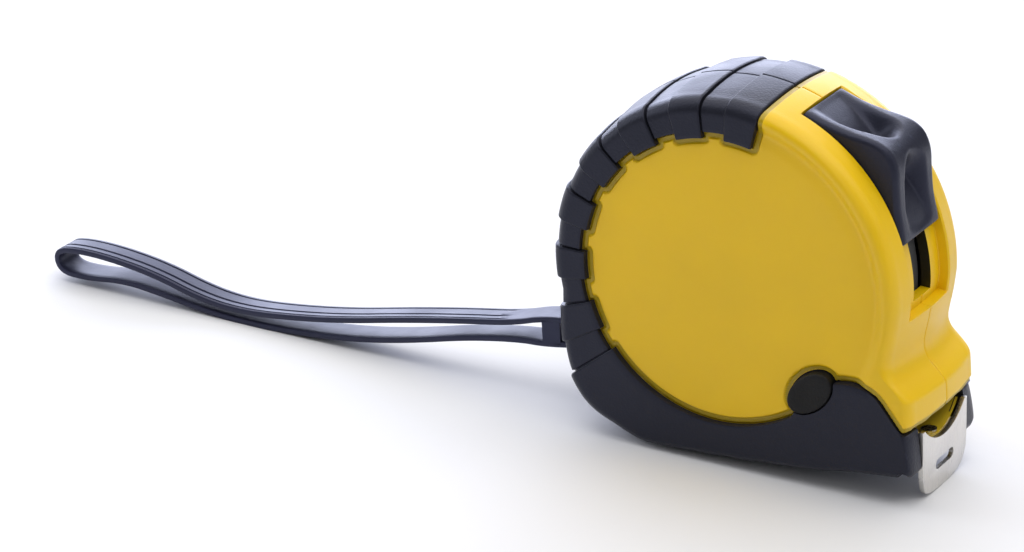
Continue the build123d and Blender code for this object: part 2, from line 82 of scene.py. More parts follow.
# Finger scoops on both sides of the crest, as (angle, half width).
UPPER_SCOOP = [(42.4, -0.6), (42.8, 1.2), (43.6, 2.6), (44.8, 3.5), (46, 4.0), (48, 4.4), (51, 4.8),
               (55, 5.1), (59, 5.4), (63.5, 5.8), (64.6, 4.0)]
LOWER_SCOOP = [(15.5, 2.0), (17.5, 4.9), (20, 4.9), (24, 4.6), (28, 4.35), (31.5, 4.1), (34, 3.7),
               (35.6, 2.5), (36.5, 1.2), (37.0, -0.6)]
SCOOP_FLOOR = [(15.1, 34.6), (30, 34.7), (40, 34.9), (48, 34.6), (64.6, 35.0)]
SCOOP_R = 37.5                    # radius at which a scoop's angles are turned into lengths

# ---- brake button ----
BRAKE_AT, BRAKE_SIZE, BRAKE_TILT = (17.4, 15.6), (10.2, 6.3), 40.0
BRAKE_OUT = 14.9

# ---- end hook ----
TROUGH_R = 12.2                   # inner radius of the blade's curved section
HOOK_CURVE_Z = 17.6               # height of its centre
HOOK_FRONT_X, HOOK_TOP_Z, HOOK_T, HOOK_LEAN = 37.1, 9.0, 0.9, 2.3
HOOK_SLOT = (7.6, 2.0, 0.5)       # length, height and level of the nail slot
# Outline of its plate below the curved top edge, as (y, z).
HOOK_FOOT = [(9.5, 9.0), (9.5, 0.4), (9.0, -1.5), (6.2, -4.2), (-7.1, -4.2), (-9.5, -1.7), (-9.5, 9.0)]
TONGUE_X, TONGUE_TURN = (26.8, 36.4), 0.44    # its ends, and half its arc in radians
RIVET_X = (29.8, 33.8)
RIVET_HOLE_R, HOOK_PLAY = 0.98, 1.2           # hole in the tongue, and how far it is drawn back

# ---- fasteners ----
PIN_AT = (-31.6, 15.6)
SCREWS_AT = [(3.2, 64.1), (-28.0, 45.4), (-18.6, 10.3), (28.5, 16.0)]
CLIP_SCREW_AT = (0.0, 50.0)

# ---- wrist strap: the middle of its thickness, out along the upper run, back along the lower ----
STRAP_W, STRAP_T = 6.5, 1.2
STRAP_ROUTE = [(-36.8, 17.6), (-42.5, 17.6), (-50.0, 15.6), (-61.0, 14.5), (-74.0, 12.9), (-88.0, 10.8),
               (-101.0, 9.7), (-112.0, 9.5), (-121.0, 11.0), (-131.0, 14.5), (-141.0, 16.5),
               (-149.0, 17.3), (-154.6, 16.8), (-154.0, 12.4), (-147.5, 11.7), (-138.5, 12.3), (-129.0, 10.6),
               (-119.0, 8.4), (-109.0, 7.2), (-97.0, 6.9), (-85.0, 7.3), (-72.5, 8.9), (-60.0, 11.3),
               (-48.5, 12.5), (-42.5, 12.3), (-36.8, 13.0)]

# ---- view ----
VIEW_AZIMUTH, VIEW_ELEVATION, VIEW_ROLL = radians(30.85), radians(20.36), radians(-3.66)
VIEW_TARGET = Vector((-42.4, -14.4, 30.05)) * MM
VIEW_DISTANCE = 0.771             # in metres
VIEW_LENS = 148.0

# ---- floor: two points of its line, one under the hook's tip and one by the strap's lower run ----
FLOOR_FRONT, FLOOR_BACK = (36.6, -4.3), (-97.0, 5.95)


# ------------------------------------------------------------------ camera, light, floor

def view_axes():
    """Right, up and back of the camera."""
    a, e = VIEW_AZIMUTH, VIEW_ELEVATION
    back = Vector((sin(a) * cos(e), -cos(a) * cos(e), sin(e)))
    right = Vector((cos(a), sin(a), 0))
    up = back.cross(right)
    c, s = cos(VIEW_ROLL), sin(VIEW_ROLL)
    return c * right + s * up, -s * right + c * up, back


def make_camera():
    right, up, back = view_axes()
    data = bpy.data.cameras.new("camera")
    data.lens, data.sensor_width = VIEW_LENS, 36.0
    data.clip_start, data.clip_end = 0.01, 20.0
    camera = bpy.data.objects.new("camera", data)
    camera.matrix_world = Matrix((right, up, back)).transposed().to_4x4()
    camera.location = VIEW_TARGET + back * VIEW_DISTANCE
    bpy.context.collection.objects.link(camera)
    bpy.context.scene.camera = camera


def area_light(name, place, aim, size, power, colour):
    data = bpy.data.lights.new(name, "AREA")
    data.shape, data.size, data.size_y = "RECTANGLE", size[0], size[1]
    data.energy, data.color = power, colour
    light = bpy.data.objects.new(name, data)
    light.location = place
    light.rotation_mode = "QUATERNION"
    light.rotation_quaternion = (Vector(place) - Vector(aim)).to_track_quat("Z", "Y")
    bpy.context.collection.objects.link(light)


def make_lights():
    aim = (-0.02, 0.0, 0.03)
    area_light("top_softbox", (0.05, 0.15, 1.0), aim, (1.8, 1.5), 16.0, (1.0, 0.99, 0.98))
    area_light("lit_backdrop", (-0.65, 1.10, 0.42), aim, (1.8, 0.8), 25.0, (0.74, 0.79, 1.0))
    area_light("right_softbox", (0.95, 0.25, 0.35), aim, (0.7, 0.7), 0.9, (1.0, 1.0, 1.0))
    area_light("left_softbox", (-1.0, -0.25, 0.60), aim, (0.6, 0.6), 2.6, (0.90, 0.93, 1.0))
    area_light("front_fill", (0.65, -1.0, 0.75), aim, (0.6, 0.5), 1.25, (1.0, 0.99, 0.98))
    world = bpy.data.worlds.new("studio")
    world.use_nodes = True
    shader = world.node_tree.nodes["Background"]
    shader.inputs["Color"].default_value = (0.95, 0.96, 1.0, 1)
    shader.inputs["Strength"].default_value = 0.22
    bpy.context.scene.world = world


def floor_height(x):
    """Height of the floor at x, on the line through its two points."""
    slope = (FLOOR_BACK[1] - FLOOR_FRONT[1]) / (FLOOR_BACK[0] - FLOOR_FRONT[0])
    return FLOOR_FRONT[1] + slope * (x - FLOOR_FRONT[0])


def make_floor():
    """A pale sheet, large enough for any view, close under the tool."""
    half = 2500.0
    square = [(-half, -half), (half, -half), (half, half), (-half, half)]
    corners = [(x, y, floor_height(x)) for x, y in square]
    mesh = bpy.data.meshes.new("floor")
    mesh.from_pydata([Vector(c) * MM for c in corners], [], [(0, 1, 2, 3)])
    floor = bpy.data.objects.new("floor", mesh)
    bpy.context.collection.objects.link(floor)
    mesh.materials.append(paper())


# ------------------------------------------------------------------ materials

class Nodes:
    """Short names for building one material's node tree."""

    def __init__(self, name, **values):
        self.material = bpy.data.materials.new(name)
        self.material.use_nodes = True
        self.tree = self.material.node_tree
        self.shader = self.tree.nodes["Principled BSDF"]
        for key, value in values.items():
            self.shader.inputs[key.replace("_", " ")].default_value = value
        self.place = self.tree.nodes.new("ShaderNodeTexCoord").outputs["Object"]

    def add(self, kind, inputs=(), **values):
        node = self.tree.nodes.new("ShaderNode" + kind)
        for key, value in values.items():
            setattr(node, key, value)
        for key, value in dict(inputs).items():
            if isinstance(value, bpy.types.NodeSocket):
                self.tree.links.new(value, node.inputs[key])
            else:
                node.inputs[key].default_value = value
        return node

    def noise(self, scale, detail=3.0, stretch=None):
        place = self.place
        if stretch:
            place = self.add("Mapping", {"Vector": place, "Scale": stretch}).outputs[0]
        return self.add("TexNoise", {"Vector": place, "Scale": scale, "Detail": detail}).outputs["Fac"]

    def ramp(self, value, *stops):
        ramp = self.add("ValToRGB", {"Fac": value})
        band = ramp.color_ramp
        while len(band.elements) < len(stops):
            band.elements.new(0.5)
        for element, (at, colour) in zip(band.elements, stops):
            element.position = at
            element.color = (*colour, 1) if hasattr(colour, "__len__") else (colour, colour, colour, 1)
        return ramp.outputs["Color"]

    def mix(self, share, first, second):
        node = self.add("Mix", data_type="RGBA")
        for index, value in ((0, share), (6, first), (7, second)):
            if isinstance(value, bpy.types.NodeSocket):
                self.tree.links.new(value, node.inputs[index])
            else:
                node.inputs[index].default_value = value if index == 0 else (*value, 1)
        return node.outputs[2]

    def put(self, socket, value):
        self.tree.links.new(value, self.shader.inputs[socket])

    def bump(self, height, strength, distance):
        node = self.add("Bump", {"Height": height, "Strength": strength, "Distance": distance})
        self.put("Normal", node.outputs[0])


def mottled(colour, spread):
    """Darker and lighter neighbours of a colour."""
    return [tuple(max(0.0, c * f) for c in colour) for f in (1 - spread, 1 + spread)]


def moulded(name, colour, roughness, grain_scale=2600.0, grain=0.12, spread=0.05, painted_edge_highlight=None, **values):
    """Moulded plastic or rubber: fine spark grain, slow colour drift and a paler colour on sharp edges, a
    painted edge highlight.
    """
    n = Nodes(name, **values)
    low, high = mottled(colour, spread)
    drift = n.ramp(n.noise(55.0, 4.0), (0.35, low), (0.65, high))
    # Sharp edges take a paler colour: a painted edge highlight.
    edge = n.ramp(n.add("NewGeometry").outputs["Pointiness"], (0.53, 0.0), (0.60, 0.6))
    n.put("Base Color", n.mix(edge, drift, painted_edge_highlight or mottled(colour, 0.25)[1]))
    patches = n.noise(120.0, 5.0)
    n.put("Roughness", n.ramp(patches, (0.3, roughness - 0.05), (0.7, roughness + 0.05)))
    n.bump(n.noise(grain_scale, 2.0), grain, 0.0004)
    return n.material


def case_plastic():
    """Yellow moulding with painted shade: darker olive in the strip by the boot, nearly black in mouth and
    hollow.
    """
    n = Nodes("case_plastic", IOR=1.45)
    low, high = mottled((0.84, 0.53, 0.0), 0.04)
    drift = n.ramp(n.noise(40.0, 4.0), (0.3, low), (0.7, high))
    # Painted shade: the sunken strip along the boot turns a darker olive.
    strip = n.add("Attribute", attribute_name="strip").outputs["Fac"]
    outside = n.mix(strip, drift, (0.42, 0.29, 0.004))
    # Painted shade: the walls of the mouth and the hollow inside turn nearly black.
    shade = n.add("Attribute", attribute_name="inside").outputs["Fac"]
    n.put("Base Color", n.mix(shade, outside, (0.02, 0.015, 0.004)))
    n.put("Roughness", n.ramp(n.noise(160.0, 4.0), (0.3, 0.36), (0.7, 0.44)))
    n.bump(n.noise(3200.0, 2.0), 0.10, 0.0003)
    n.shader.inputs["Subsurface Weight"].default_value = 0.12
    n.shader.inputs["Subsurface Radius"].default_value = (0.0016, 0.0009, 0.0002)
    return n.material


def brushed(name, colour, roughness, stretch=(1, 40, 1)):
    """Rolled or plated metal with fine lines and slow patches."""
    n = Nodes(name, Metallic=1.0)
    low, high = mottled(colour, 0.06)
    n.put("Base Color", n.ramp(n.noise(90.0, 5.0), (0.3, low), (0.7, high)))
    lines = n.noise(260.0, 6.0, stretch)
    n.put("Roughness", n.ramp(lines, (0.3, roughness - 0.06), (0.7, roughness + 0.08)))
    n.bump(lines, 0.10, 0.0002)
    return n.material


def blade_lacquer():
    """Yellow lacquer with black millimetre strokes along both edges, longer at each 5 and 10."""
    n = Nodes("blade_lacquer", Roughness=0.32, Coat_Weight=0.35)
    low, high = mottled((0.80, 0.56, 0.03), 0.04)
    paint = n.ramp(n.noise(70.0, 4.0), (0.3, low), (0.7, high))
    x, y, _ = n.add("SeparateXYZ", {0: n.place}).outputs
    across = n.add("Math", {0: y}, operation="ABSOLUTE").outputs[0]

    def strokes(period, width, inner):
        turn = n.add("Math", {0: x, 1: period * MM}, operation="FLOORED_MODULO").outputs[0]
        narrow = n.add("Math", {0: turn, 1: width * MM}, operation="LESS_THAN").outputs[0]
        outside = n.add("Math", {0: across, 1: inner * MM}, operation="GREATER_THAN").outputs[0]
        return n.add("Math", {0: narrow, 1: outside}, operation="MULTIPLY").outputs[0]

    marks = strokes(1.0, 0.18, 7.2)
    for period, width, inner in ((5.0, 0.22, 6.0), (10.0, 0.28, 3.8)):
        marks = n.add("Math", {0: marks, 1: strokes(period, width, inner)}, operation="MAXIMUM").outputs[0]
    n.put("Base Color", n.mix(marks, paint, (0.01, 0.01, 0.01)))
    n.bump(n.noise(900.0, 3.0), 0.05, 0.0002)
    return n.material


def paper():
    """Pale matt backdrop paper."""
    n = Nodes("paper", Roughness=0.9)
    n.put("Base Color", n.ramp(n.noise(8.0, 3.0), (0.3, (0.74, 0.74, 0.75)), (0.7, (0.77, 0.77, 0.78))))
    n.bump(n.noise(700.0, 4.0), 0.04, 0.0005)
    return n.material


def make_materials():
    """One material for each of the record's slots; grip, lock and strap share a bluish sheen."""
    blue_sheen = {"IOR": 1.42, "Specular_Tint": (0.70, 0.73, 1.0, 1)}
    return {
        "case_plastic": case_plastic(),
        # For grip, lock and strap the last colour is the painted edge highlight, bluer and mostly paler.
        "grip_rubber": moulded("grip_rubber", (0.0095, 0.0100, 0.0145), 0.40, 2400.0, 0.16, 0.08,
                               (0.018, 0.019, 0.030), **blue_sheen),
        "lock_plastic": moulded("lock_plastic", (0.0155, 0.0165, 0.0275), 0.38, 2800.0, 0.14, 0.07,
                                (0.030, 0.034, 0.06), **blue_sheen),
        "button_plastic": moulded("button_plastic", (0.003, 0.003, 0.0035), 0.58, 2200.0, 0.30, 0.10,
                                  IOR=1.38),
        "strap_vinyl": moulded("strap_vinyl", (0.022, 0.0235, 0.046), 0.42, 1500.0, 0.06, 0.10,
                               (0.022, 0.025, 0.05), **blue_sheen),
        "shoe_rubber": moulded("shoe_rubber", (0.03, 0.03, 0.03), 0.7),
        "spool_plastic": moulded("spool_plastic", (0.62, 0.62, 0.58), 0.45, painted_edge_highlight=(0.7, 0.7, 0.66)),
        "inner_plastic": moulded("inner_plastic", (0.05, 0.05, 0.05), 0.5),
        "hook_nickel": brushed("hook_nickel", (0.66, 0.64, 0.61), 0.30),
        "rivet_steel": brushed("rivet_steel", (0.72, 0.69, 0.62), 0.28, (8, 8, 8)),
        "zinc_steel": brushed("zinc_steel", (0.60, 0.61, 0.63), 0.34, (6, 6, 6)),
        "clip_steel": brushed("clip_steel", (0.70, 0.70, 0.70), 0.27, (30, 1, 1)),
        "spring_steel": brushed("spring_steel", (0.24, 0.26, 0.30), 0.35, (1, 30, 1)),
        "blade_lacquer": blade_lacquer(),
    }


# ------------------------------------------------------------------ mesh tools

def ease(value, low, high):
    """0 up to low, 1 from high on, and a smooth S between them."""
    t = np.clip((np.asarray(value, float) - low) / (high - low), 0, 1)
    return t * t * (3 - 2 * t)


def polar(angle, radius):
    """A point of the side view, from its angle in degrees and radius about the spool axis."""
    return (radius * cos(radians(angle)), AXIS_Z + radius * sin(radians(angle)))


def rounded(points, rounds=3, closed=False):
    """Corners of a polyline cut off again and again until they are round."""
    line = np.asarray(points, float)
    for _ in range(rounds):
        after = np.roll(line, -1, axis=0) if closed else line[1:]
        before = line if closed else line[:-1]
        cut = np.stack([0.75 * before + 0.25 * after, 0.25 * before + 0.75 * after], 1).reshape(-1, 2)
        line = cut if closed else np.vstack([line[:1], cut, line[-1:]])
    return line


def along(line, shares):
    """Points of a polyline at shares, 0 to 1, of its length."""
    line = np.asarray(line, float)
    run = np.concatenate([[0], np.cumsum(np.linalg.norm(np.diff(line, axis=0), axis=1))])
    places = np.asarray(shares) * run[-1]
    return np.stack([np.interp(places, run, column) for column in line.T], 1)


def new_object(name, vertices, faces):
    """A mesh object from points in millimetres, with outward faces."""
    mesh = bpy.data.meshes.new(name)
    mesh.from_pydata((np.asarray(vertices, float) * MM).tolist(), [], faces)
    build = bmesh.new()
    build.from_mesh(mesh)
    bmesh.ops.remove_doubles(build, verts=build.verts, dist=1e-7)
    bmesh.ops.dissolve_degenerate(build, edges=build.edges, dist=1e-8)
    bmesh.ops.recalc_face_normals(build, faces=build.faces)
    if build.calc_volume(signed=True) < 0:
        bmesh.ops.reverse_faces(build, faces=build.faces)
    build.to_mesh(mesh)
    build.free()
    mesh.shade_smooth()
    made = bpy.data.objects.new(name, mesh)
    bpy.context.collection.objects.link(made)
    return made


def lofted(name, loops):
    """A solid through a row of closed loops, capped at both ends."""
    loops = np.asarray(loops, float)
    rows, count = loops.shape[:2]
    faces = []
    for i in range(rows - 1):
        a, b = i * count, (i + 1) * count
        faces += [(a + k, b + k, b + (k + 1) % count, a + (k + 1) % count) for k in range(count)]
    faces.append(tuple(range(count)))
    faces.append(tuple(range((rows - 1) * count, rows * count)))
    return new_object(name, loops.reshape(-1, 3), faces)


def side_prism(name, outline, y0, y1):
    """A prism with a side-view outline, from y0 to y1."""
    outline = np.asarray(outline, float)
    loops = [np.column_stack([outline[:, 0], np.full(len(outline), y), outline[:, 1]]) for y in (y0, y1)]
    return lofted(name, loops)


def circle(at, radius, count=48):
    turn = np.arange(count) * 2 * pi / count
    return np.column_stack([at[0] + radius * np.cos(turn), at[1] + radius * np.sin(turn)])


def ring_sector(r0, r1, a0, a1):
    """Outline of the part of a ring about the spool axis between two radii and two angles."""
    angles = np.radians(np.linspace(a0, a1, int((a1 - a0) / 2)))
    arc = np.column_stack([np.cos(angles), np.sin(angles)])
    return np.vstack([arc * r1, arc[::-1] * r0]) + (0, AXIS_Z)


def oval(grow, count=64):
    """Outline of the brake button, grown by a margin."""
    turn = np.arange(count) * 2 * pi / count
    x = (BRAKE_SIZE[0] / 2 + grow) * np.cos(turn)
    z = (BRAKE_SIZE[1] / 2 + grow) * np.sin(turn)
    c, s = cos(radians(BRAKE_TILT)), sin(radians(BRAKE_TILT))
    return np.column_stack([BRAKE_AT[0] + c * x - s * z, BRAKE_AT[1] + s * x + c * z])


def block(name, low, high):
    """A box between two opposite corners."""
    (x0, y0, z0), (x1, y1, z1) = low, high
    return side_prism(name, [(x0, z0), (x1, z0), (x1, z1), (x0, z1)], y0, y1)


def carve(solid, cutters, operation="DIFFERENCE"):
    """Cut the cutters out of a solid, one at a time, and discard them."""
    for cutter in cutters:
        change = solid.modifiers.new("cut", "BOOLEAN")
        change.solver, change.operation, change.object = "MANIFOLD", operation, cutter
        apply_modifiers(solid)
        bpy.data.objects.remove(cutter)
    return solid


def apply_modifiers(obj):
    graph = bpy.context.evaluated_depsgraph_get()
    mesh = bpy.data.meshes.new_from_object(obj.evaluated_get(graph), preserve_all_data_layers=True,
                                           depsgraph=graph)
    obj.modifiers.clear()
    obj.data = mesh


def sharpen(obj, angle=32.0):
    """Smooth shading, except across edges sharper than angle."""
    build = bmesh.new()
    build.from_mesh(obj.data)
    for face in build.faces:
        face.smooth = True
    for edge in build.edges:
        edge.smooth = not edge.is_manifold or edge.calc_face_angle(0.0) < radians(angle)
    build.to_mesh(obj.data)
    build.free()


def mirrored(obj, name):
    """The same solid on the other side of the mid-plane."""
    mesh = obj.data.copy()
    mesh.transform(Matrix.Scale(-1, 4, (0, 1, 0)))
    mesh.flip_normals()
    made = bpy.data.objects.new(name, mesh)
    bpy.context.collection.objects.link(made)
    return made


def finish_piece(obj, body, slot, *replaced):
    """Give a piece its material, the body it rides on and the node that it stands for."""
    obj.data.materials.clear()
    obj.data.materials.append(MATERIALS[slot])
    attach(obj, body)
    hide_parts(*replaced)


# ------------------------------------------------------------------ outline of the case

def case_outline():
    """The mid-plane outline as (angle, radius) about the spool axis, angles rising from -8 to 352."""
    heel = [polar(190, 35.15), (-34.8, 23.0), (-34.8, 17.3), (-33.5, 10.6), (-29.2, 4.2), (-20.6, 0.7),
            (-12.0, 0.0)]
    nose = [(18.0, 0.0), (23.5, 0.9), (33.0, 1.2), (37.2, 1.3), (37.48, 10.5), (37.48, 14.9), (37.4, 15.7),
            (36.3, 17.2), (34.3, 19.2), (33.5, 20.8), (33.3, 22.2), (33.6, 24.0), (34.3, 26.6),
            polar(-8, 35.2)]
    angles = np.arange(-8.0, 190.0, 1.0)
    back = 0.25 * ease(angles, 80, 170)
    arc = [polar(a, CROWN_R - 0.2 * float(ease(-a, 2, 8)) - b) for a, b in zip(angles, back)]
    points = np.vstack([arc[1:], rounded(heel + nose, 2)])
    angle = np.degrees(np.unwrap(np.arctan2(points[:, 1] - AXIS_Z, points[:, 0])))
    return angle, np.hypot(points[:, 0], points[:, 1] - AXIS_Z)


OUTLINE = case_outline()


def outline_radius(angle):
    """Radius of the case's outline at an angle."""
    first = OUTLINE[0][0]
    return np.interp(np.mod(np.asarray(angle, float) - first, 360) + first, *OUTLINE)


def hump():
    """Upper edge of the boot over the nose, from under the brake button to the lip."""
    return rounded([(13.4, 10.4), (16.2, 14.6), (20.2, 17.7), (25.3, 18.6), (29.9, 17.2), (32.9, 12.9),
                    (34.8, 10.3)])


def plate_place(angle):
    """How far an angle is past the start of its plate, or None outside the plates."""
    if not PLATE_FIRST <= angle < PLATE_LAST:
        return None
    return (angle - PLATE_FIRST) % PLATE_PITCH


def border_radius(angle):
    """Inner edge of the boot around the round panel."""
    place = plate_place(angle)
    if place is None:
        return HEEL_BORDER_R
    return TOOTH_DEEP_R if place < PLATE_RAISED else TOOTH_SHALLOW_R


def plate_drop(angle):
    """How far the boot's surface lies under its raised level at an angle."""
    place = plate_place(angle)
    if place is None:
        return 0.0
    return STEP_DEPTH * float(ease(place, PLATE_RAISED - 0.5, PLATE_RAISED + 0.3))


def boot_angles():
    """Columns of the boot around the round panel: even steps, with extra ones at each plate's edges."""
    angles = set(np.round(np.arange(PLATE_FIRST, HEEL_TO, 1.0), 4))
    for i in range(PLATE_COUNT + 1):
        start = PLATE_FIRST + i * PLATE_PITCH
        if i:
            angles.update(start - d for d in (1.6, GROOVE_ANGLE, 0.6, 0.4, 0.15, 0.01))
        angles.update(start + d for d in (0.01, 0.06, 0.2, 0.45, 0.9))
        if i < PLATE_COUNT:
            end = start + PLATE_RAISED
            angles.update(end + d for d in (-0.8, -0.5, -0.25, -0.02, 0.02, 0.25, 0.5))
    return np.array(sorted(a for a in angles if PLATE_FIRST <= a <= HEEL_TO))


def groove(angle):
    """Depth of the line cut in front of each plate's start, and the round of the plate's front edge."""
    place = plate_place(angle)
    depth, past = 0.0, place
    if place is None:
        past = angle - PLATE_LAST
    elif PLATE_PITCH - place <= GROOVE_ANGLE:
        depth = (GROOVE_DEPTH - STEP_DEPTH) * float(ease(place - PLATE_PITCH, -GROOVE_ANGLE, -0.45))
    if 0 <= past < 0.5:
        depth += 0.28 * (1 - float(ease(past, -0.3, 0.5)))
    return depth


# ------------------------------------------------------------------ grip boot

def boot_section(start, end, drop, corner, crown, wall_y=13.0):
    """One closed loop across the right half of the boot.
    start and end are its border and its outline in the side view; drop lowers the surface;
    corner is the size of the rounded edge, along the column and across; crown is the fall to the edge."""
    start, end = np.asarray(start, float), np.asarray(end, float)
    reach = np.linalg.norm(end - start)
    lean = (end - start) / reach
    side_y = HALF_W - 0.75 * drop
    top = reach - drop
    along_corner, across_corner = corner
    flat_end = max(top - crown - along_corner, 0.8)
    along_corner = top - crown - flat_end
    loop = [(0.0, wall_y), (0.0, side_y - 0.3), (0.09, side_y - 0.09), (0.3, side_y)]
    loop += [(0.3 + (flat_end - 0.3) * k / 8, side_y) for k in range(1, 9)]
    for k in range(1, 13):
        turn = pi / 2 * k / 12
        loop.append((flat_end + along_corner * sin(turn), side_y - across_corner * (1 - cos(turn))))
    edge_y = side_y - across_corner
    for y in (0.9, 0.78, 0.64, 0.5, 0.36, 0.24, 0.13, 0.06):
        loop.append((top - crown * y * y, edge_y * y))
    loop += [(top - 0.02, 0.3), (top - 0.3, SEAM_Y)]
    deep = reach - BOOT_T
    loop += [(deep, SEAM_Y), (deep - 0.1, 4.0), (deep - 0.9, 10.2), (deep - 2.4, 12.4)]
    loop.append((min(deep - 3.4, 1.5) if reach > 6 else 1.0, wall_y))
    return [(start[0] + d * lean[0], -y, start[1] + d * lean[1]) for d, y in loop]


def edge_shape(x, z):
    """Corner size and crown of the rim at a place of the outline: soft on the round, tight on the base."""
    base = float(1 - ease(z, 1.0, 9.0))
    flat = base * float(ease(x, -26.0, -16.0))
    corner = (2.75 - 1.0 * flat, 3.6 - 1.4 * flat)
    return corner, 0.85 - 0.72 * flat


def right_boot():
    """Right half of the grip, lofted along its border: round the panel first, then over the nose."""
    loops = []
    for angle in boot_angles():
        end = polar(angle, float(outline_radius(angle)))
        corner, crown = edge_shape(*end)
        drop = plate_drop(angle) + groove(angle)
        loops.append(boot_section(polar(angle, border_radius(angle)), end, drop, corner, crown))
    columns = 70
    upper = along(hump(), np.linspace(0.015, 1, columns))
    under = [polar(a, float(outline_radius(a))) for a in np.linspace(HEEL_TO, NOSE_TO, 120)]
    lower = along(under, np.linspace(0.02, 1, columns))
    for start, end in zip(upper, lower):
        end[0] = min(end[0], BOOT_FRONT_X)
        corner, crown = edge_shape(*end)
        loops.append(boot_section(start, end, 0.0, corner, crown, 12.6))
    return lofted("right_grip_boot_skin", loops)


# ------------------------------------------------------------------ yellow shells

def button_distance(x, z):
    """Distance of side-view points from the brake button's outline: positive outside it."""
    c, s = cos(radians(BRAKE_TILT)), sin(radians(BRAKE_TILT))
    dx, dz = x - BRAKE_AT[0], z - BRAKE_AT[1]
    u, v = (c * dx + s * dz) / (BRAKE_SIZE[0] / 2), (-s * dx + c * dz) / (BRAKE_SIZE[1] / 2)
    reach = np.maximum(np.hypot(u, v), 1e-6)
    return (1 - 1 / reach) * np.hypot(dx, dz)


def border_line():
    """Side view of the edge between shell and boot, from above the first plate to in front of the lip."""
    points = [polar(PLATE_FIRST, 60), polar(PLATE_FIRST, TOOTH_DEEP_R)]
    for i in range(PLATE_COUNT):
        start = PLATE_FIRST + i * PLATE_PITCH
        points += [polar(start + a, TOOTH_DEEP_R) for a in np.linspace(0.5, PLATE_RAISED, 8)]
        points += [polar(start + a, TOOTH_SHALLOW_R) for a in np.linspace(PLATE_RAISED, PLATE_PITCH, 7)]
    points += [polar(a, HEEL_BORDER_R) for a in np.arange(PLATE_LAST, HEEL_TO - 0.5, 2.0)]
    return np.vstack([points, hump(), [(60, 10.3)]])


def outline_distance(outline, x, z, open_end=()):
    """Distance of points from an outline: positive inside it, negative outside.
    open_end closes the outline for the inside test alone."""
    line = np.asarray(outline, float)
    points = np.column_stack([x.ravel(), z.ravel()])
    nearest = np.full(len(points), 1e9)
    shut = line if open_end else np.vstack([line, line[:1]])
    for a, b in zip(shut[:-1], shut[1:]):
        run = b - a
        share = np.clip(((points - a) @ run) / max(run @ run, 1e-12), 0, 1)
        nearest = np.minimum(nearest, np.hypot(*(points - a - share[:, None] * run).T))
    loop = np.vstack([line, open_end]) if open_end else line
    inside = np.zeros(len(points), bool)
    for a, b in zip(loop, np.roll(loop, -1, axis=0)):
        spans = (a[1] > points[:, 1]) != (b[1] > points[:, 1])
        rise = b[1] - a[1] if b[1] != a[1] else 1e-9
        inside ^= spans & (points[:, 0] < a[0] + (b[0] - a[0]) * (points[:, 1] - a[1]) / rise)
    return np.where(inside, nearest, -nearest).reshape(x.shape)


def side_distance(x, z):
    """Distance of side-view points from the boot's edge: positive on the shell, negative under the boot."""
    return outline_distance(border_line(), x, z, [(60, 90)])


def shell_rows(radius):
    """Across the right half at one angle, from the middle out and over to the seam:
    (radius, y, normal in radius, normal in y), with no y on the flat side, which panel_y gives."""
    rows = [(r, None, 0.0, 1.0) for r in (4.0, 8.0, 12.0, 15.0, 17.0)]
    rows += [(18.0 + 0.3 * k, None, 0.0, 1.0) for k in range(26)]
    crown, across, corner = 0.8, 3.2, 2.0
    flat_end = radius - crown - corner
    rows += [(25.8 + (flat_end - 25.8) * (k / 48), None, 0.0, 1.0) for k in range(49)]
    for k in range(1, 11):
        turn = pi / 2 * k / 10
        rows.append((flat_end + corner * sin(turn), HALF_W - across * (1 - cos(turn)), sin(turn), cos(turn)))
    edge_y = HALF_W - across
    for y in (10.7, 10.1, 9.4, 8.8, 8.4, 8.15, 8.02, 7.95, 7.9, 7.8, 7.6, 7.0, 6.2, 5.5, 5.2, 5.05, 4.95, 4.8,
              4.2, 3.4, 2.9, 2.7, 2.0, 1.3, 0.8, 0.45, 0.25, 0.12, SEAM_Y):
        rows.append((radius - crown * (y / edge_y) ** 2, y, 1.0, 0.0))
    return rows


def slot_depth(angle, y):
    """Depth of the thumb lock's track, with rounded edges."""
    over = ease(angle, POCKET_END - 0.12, POCKET_END + 0.12)
    over = over * (1 - ease(angle, LOCK_TO + 0.2, LOCK_TO + 0.45))
    pocket = 1 - ease(y, POCKET_HALF - 0.07, POCKET_HALF + 0.07)
    round_edge = 0.3 * (1 - ease(y, POCKET_HALF, POCKET_HALF + 0.5))
    return over * np.maximum(POCKET_DEPTH * pocket, round_edge * (1 - pocket))


def shell_angles():
    """Columns of the shell: closer below and in front, with extra ones at the edges of track and boot."""
    angles = np.concatenate([np.arange(-90.0, -6.0, 0.45), np.arange(-6.0, 270.0, 0.75)])
    extra = [POCKET_END + d for d in (-0.14, -0.06, 0.06, 0.14)]
    extra += [LOCK_TO + d for d in (0.18, 0.28, 0.38, 0.48)]
    extra += [PLATE_FIRST + d for d in (-2.2, -1.9, -1.6, -0.4, -0.2, 0.0, 0.2)]
    return np.unique(np.concatenate([angles, extra]))


def panel_y(angles, radius):
    """Level of the flat side: the sunken panel, the slope around it and a faint hollow at its front foot."""
    level = DISC_Y + (HALF_W - DISC_Y) * ease(radius, DISC_R, RIM_R)
    front = (ease(angles, -28, -8) * (1 - ease(angles, 78, 92)))[:, None]
    return level - 0.24 * front * np.exp(-((radius - DISC_R) / 1.5) ** 2)


